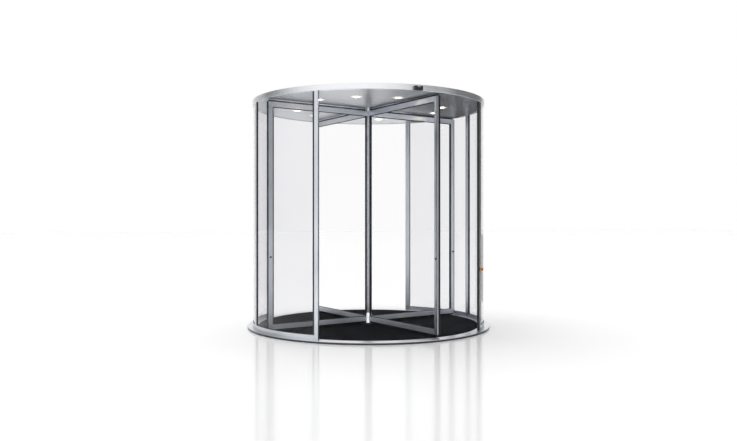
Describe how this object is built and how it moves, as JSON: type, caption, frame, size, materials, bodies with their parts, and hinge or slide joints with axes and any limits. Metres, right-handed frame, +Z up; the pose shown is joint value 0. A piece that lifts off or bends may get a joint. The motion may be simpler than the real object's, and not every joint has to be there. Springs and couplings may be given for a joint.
{
  "type": "revolving door",
  "caption": "Free-standing revolving door: framed glass wings on a central shaft in a round glass drum with a slim round canopy, a floor ring and an inset mat.",
  "frame": {"origin": "shaft axis at floor level, under the middle of the floor ring", "axes": "+Z up along the shaft, -Y out through the front doorway, +X to the right seen from the front"},
  "size_m": [2.46, 2.46, 2.274],
  "materials": {
    "frame_aluminium": "satin anodised",
    "canopy_steel": "fine brushed",
    "ceiling_steel": "brushed",
    "ring_steel": "brushed",
    "bearing_steel": "turned",
    "shaft_steel": "satin",
    "entrance_mat": "ribbed pile",
    "clear_glass": "polished",
    "black_rubber": "matte",
    "black_brush": "bristle",
    "sensor_plastic": "smooth",
    "light_bezel": "satin",
    "light_lens": "lit diffuser",
    "button_red": "smooth",
    "button_yellow": "smooth",
    "switch_metal": "satin",
    "lock_metal": "satin"
  },
  "bodies": {
    "drum": {"floor_ring": "ring_steel", "floor_mat": "entrance_mat", "floor_bearing": "bearing_steel", "post_front_left": "frame_aluminium", "post_front_right": "frame_aluminium", "post_back_left": "frame_aluminium", "post_back_right": "frame_aluminium", "post_left": "frame_aluminium", "post_right": "frame_aluminium", "base_rails_left": "frame_aluminium", "base_rails_right": "frame_aluminium", "wall_glass_left_front": "clear_glass", "wall_glass_left_back": "clear_glass", "wall_glass_right_front": "clear_glass", "wall_glass_right_back": "clear_glass", "canopy_fascia": "canopy_steel", "ceiling_panel": "ceiling_steel", "canopy_roof": "canopy_steel", "top_bearing": "bearing_steel", "downlight_bezels": "light_bezel", "downlight_lenses": "light_lens", "motion_sensor_front": "sensor_plastic", "motion_sensor_back": "sensor_plastic", "emergency_button_base": "button_yellow", "key_switch": "switch_metal"},
    "rotor": {"shaft": "shaft_steel", "shaft_glazing_strips": "black_rubber", "wing_locks": "lock_metal", "wing_front_stile": "frame_aluminium", "wing_front_rails": "frame_aluminium", "wing_front_glass": "clear_glass", "wing_front_brushes": "black_brush", "wing_left_stile": "frame_aluminium", "wing_left_rails": "frame_aluminium", "wing_left_glass": "clear_glass", "wing_left_brushes": "black_brush", "wing_back_stile": "frame_aluminium", "wing_back_rails": "frame_aluminium", "wing_back_glass": "clear_glass", "wing_back_brushes": "black_brush", "wing_right_stile": "frame_aluminium", "wing_right_rails": "frame_aluminium", "wing_right_glass": "clear_glass", "wing_right_brushes": "black_brush"},
    "button": {"emergency_button": "button_red"}
  },
  "joints": [
    {"name": "rotor_spin", "type": "hinge", "parent": "drum", "child": "rotor", "pos_m": [0, 0, 0], "axis": [0, 0, 1], "continuous": true},
    {"name": "button_press", "type": "slide", "parent": "drum", "child": "button", "axis": [-0.7071, 0.7071, 0], "range_m": [0, 0.004], "stiffness_N_per_m": 1500}
  ]
}
